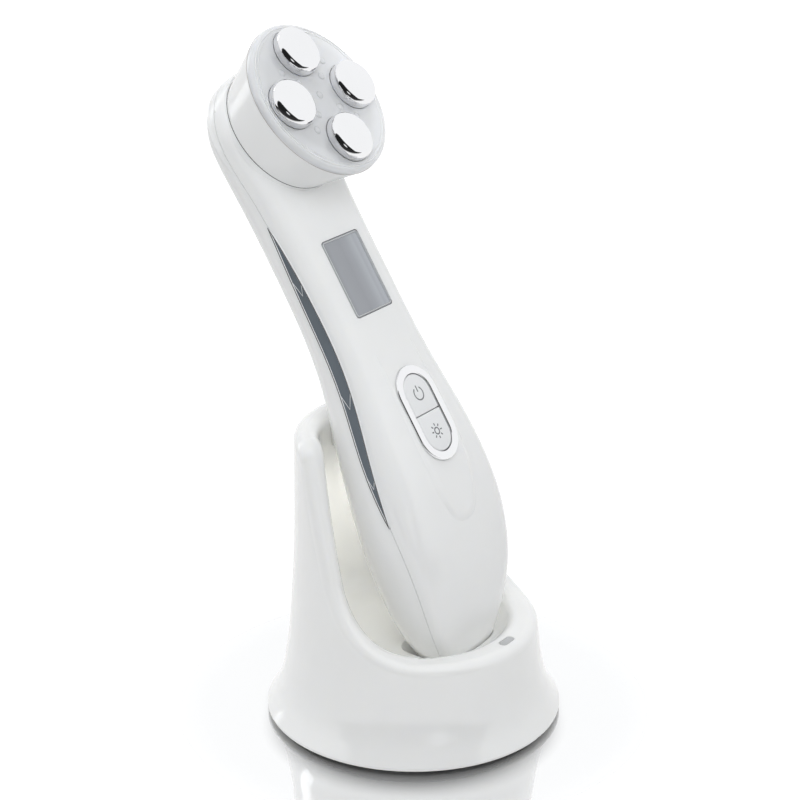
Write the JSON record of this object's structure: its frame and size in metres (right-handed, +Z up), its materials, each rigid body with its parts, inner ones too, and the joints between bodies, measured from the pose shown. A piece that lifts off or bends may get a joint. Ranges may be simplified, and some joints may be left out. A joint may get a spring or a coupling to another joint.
{
  "type": "radio frequency beauty machine",
  "caption": "Hand-held facial care device with a round electrode head, display and oval button, leaning in an open charging stand.",
  "frame": {"origin": "centre of the bounding box on the floor under the feet", "axes": "+Z up, the handset's face and the stand's opening towards -Y, +X to the viewer's right from the front"},
  "size_m": [0.0898, 0.1122, 0.2048],
  "materials": {
    "white_shell": "moulded, high gloss",
    "white_stand": "moulded, high gloss",
    "milky_lens": "milky translucent, polished",
    "chrome": "mirror plated",
    "slate_trim": "satin metallic",
    "display_glass": "flat window",
    "display_panel": "grey liquid crystal",
    "grey_button": "fine satin",
    "black_plastic": "moulded",
    "green_board": "solder mask",
    "gilt_brass": "gilt",
    "steel": "plain",
    "rubber": "matt",
    "base_white": "fine texture",
    "ferrite": "sintered",
    "copper_winding": "enamelled wire",
    "cell_foil": "foil pouch",
    "clear_led": "clear dome",
    "light_pipe": "translucent"
  },
  "bodies": {
    "stand": {"stand_shell": "white_stand", "base_plate": "base_white", "rubber_feet": "rubber", "base_screws": "steel", "pin_holder": "black_plastic", "pin_spring_left": "steel", "pin_spring_right": "steel", "charge_board": "green_board", "dc_jack": "black_plastic", "charge_indicator": "light_pipe", "indicator_led": "clear_led"},
    "handset": {"front_shell": "white_shell", "rear_shell": "white_shell", "side_trim_left": "slate_trim", "side_trim_right": "slate_trim", "head_ring": "white_shell", "head_lens": "milky_lens", "electrode_top": "chrome", "electrode_bottom": "chrome", "electrode_left": "chrome", "electrode_right": "chrome", "electrode_nuts": "steel", "led_board": "green_board", "leds": "clear_led", "lcd_window": "display_glass", "lcd_panel": "display_panel", "lcd_holder": "black_plastic", "button_ring": "chrome", "power_switch": "black_plastic", "light_switch": "black_plastic", "main_board": "green_board", "board_screws": "steel", "battery": "cell_foil", "rf_core": "ferrite", "rf_winding": "copper_winding", "shell_screws": "steel", "screw_plugs": "white_shell", "contact_left": "gilt_brass", "contact_right": "gilt_brass"},
    "power_key": {"power_button": "grey_button", "power_stem": "black_plastic"},
    "light_key": {"light_button": "grey_button", "light_stem": "black_plastic"},
    "pin_left": {"charge_pin_left": "gilt_brass"},
    "pin_right": {"charge_pin_right": "gilt_brass"}
  },
  "joints": [
    {"name": "handset_lift", "type": "slide", "parent": "stand", "child": "handset", "axis": [0, 0, 1], "range_m": [0, 0.11]},
    {"name": "power_press", "type": "slide", "parent": "handset", "child": "power_key", "axis": [0, 0.8434, -0.5373], "range_m": [0, 0.0006], "stiffness_N_per_m": 600, "springref_m": -0.0003},
    {"name": "light_press", "type": "slide", "parent": "handset", "child": "light_key", "axis": [0, 0.8434, -0.5373], "range_m": [0, 0.0006], "stiffness_N_per_m": 600, "springref_m": -0.0003},
    {"name": "pin_left_press", "type": "slide", "parent": "stand", "child": "pin_left", "axis": [0, 0, -1], "range_m": [0, 0.001], "stiffness_N_per_m": 250, "springref_m": -0.0004, "deforming": ["pin_spring_left"]},
    {"name": "pin_right_press", "type": "slide", "parent": "stand", "child": "pin_right", "axis": [0, 0, -1], "range_m": [0, 0.001], "stiffness_N_per_m": 250, "springref_m": -0.0004, "deforming": ["pin_spring_right"]}
  ]
}
